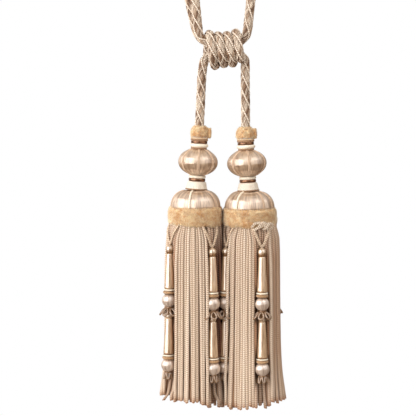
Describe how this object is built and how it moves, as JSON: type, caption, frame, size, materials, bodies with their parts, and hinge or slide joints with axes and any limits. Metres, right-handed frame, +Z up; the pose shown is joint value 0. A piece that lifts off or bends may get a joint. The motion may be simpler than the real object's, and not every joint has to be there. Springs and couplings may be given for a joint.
{
  "type": "curtain tieback tassel",
  "caption": "Curtain tieback of twisted rope with a wrapped knot, carrying tassels with silk-wound moulds, plush ruffs, hanging moulds and a chainette fringe skirt.",
  "frame": {"origin": "inside of the rope loop's top, midway between its two ropes, where the wall hook holds it", "axes": "+X across from the left tassel to the right one, +Y away from the room towards the wall, +Z up"},
  "size_m": [0.1221, 0.0682, 0.5],
  "materials": {
    "rope": "three-strand twisted rope in beige and greige with a thin gloss cream cord in each groove",
    "satin": "champagne floss silk wound lengthwise, strong soft gloss",
    "band": "gloss brown silk band with cream rings",
    "cream": "cream gathered braid, matt",
    "plush": "golden tan cut plush",
    "fringe": "pale beige chainette cord, soft sheen",
    "pearl": "silk-wound turned wood, pearly gloss",
    "gimp": "gloss tan and brown gimp loops"
  },
  "bodies": {
    "root": {"loop_front": "rope", "loop_back": "rope", "knot": "rope", "drop_left": "rope", "drop_right": "rope", "left_top_ruff": "plush", "left_upper_neck": "band", "left_ball": "satin", "left_lower_neck": "cream", "left_dome": "satin", "left_ruff": "plush", "left_skirt": "fringe", "left_hanger_1_cords": "fringe", "left_hanger_1_upper_mould": "pearl", "left_hanger_1_petals": "gimp", "left_hanger_1_lower_mould": "pearl", "left_hanger_1_end_loops": "gimp", "left_hanger_2_cords": "fringe", "left_hanger_2_upper_mould": "pearl", "left_hanger_2_petals": "gimp", "left_hanger_2_lower_mould": "pearl", "left_hanger_2_end_loops": "gimp", "left_hanger_3_cords": "fringe", "left_hanger_3_upper_mould": "pearl", "left_hanger_3_petals": "gimp", "left_hanger_3_lower_mould": "pearl", "left_hanger_3_end_loops": "gimp", "left_hanger_4_cords": "fringe", "left_hanger_4_upper_mould": "pearl", "left_hanger_4_petals": "gimp", "left_hanger_4_lower_mould": "pearl", "left_hanger_4_end_loops": "gimp", "right_top_ruff": "plush", "right_upper_neck": "band", "right_ball": "satin", "right_lower_neck": "cream", "right_dome": "satin", "right_ruff": "plush", "right_skirt": "fringe", "right_hanger_1_cords": "fringe", "right_hanger_1_upper_mould": "pearl", "right_hanger_1_petals": "gimp", "right_hanger_1_lower_mould": "pearl", "right_hanger_1_end_loops": "gimp", "right_hanger_2_cords": "fringe", "right_hanger_2_upper_mould": "pearl", "right_hanger_2_petals": "gimp", "right_hanger_2_lower_mould": "pearl", "right_hanger_2_end_loops": "gimp", "right_hanger_3_cords": "fringe", "right_hanger_3_upper_mould": "pearl", "right_hanger_3_petals": "gimp", "right_hanger_3_lower_mould": "pearl", "right_hanger_3_end_loops": "gimp", "right_hanger_4_cords": "fringe", "right_hanger_4_upper_mould": "pearl", "right_hanger_4_petals": "gimp", "right_hanger_4_lower_mould": "pearl", "right_hanger_4_end_loops": "gimp"}
  },
  "joints": []
}
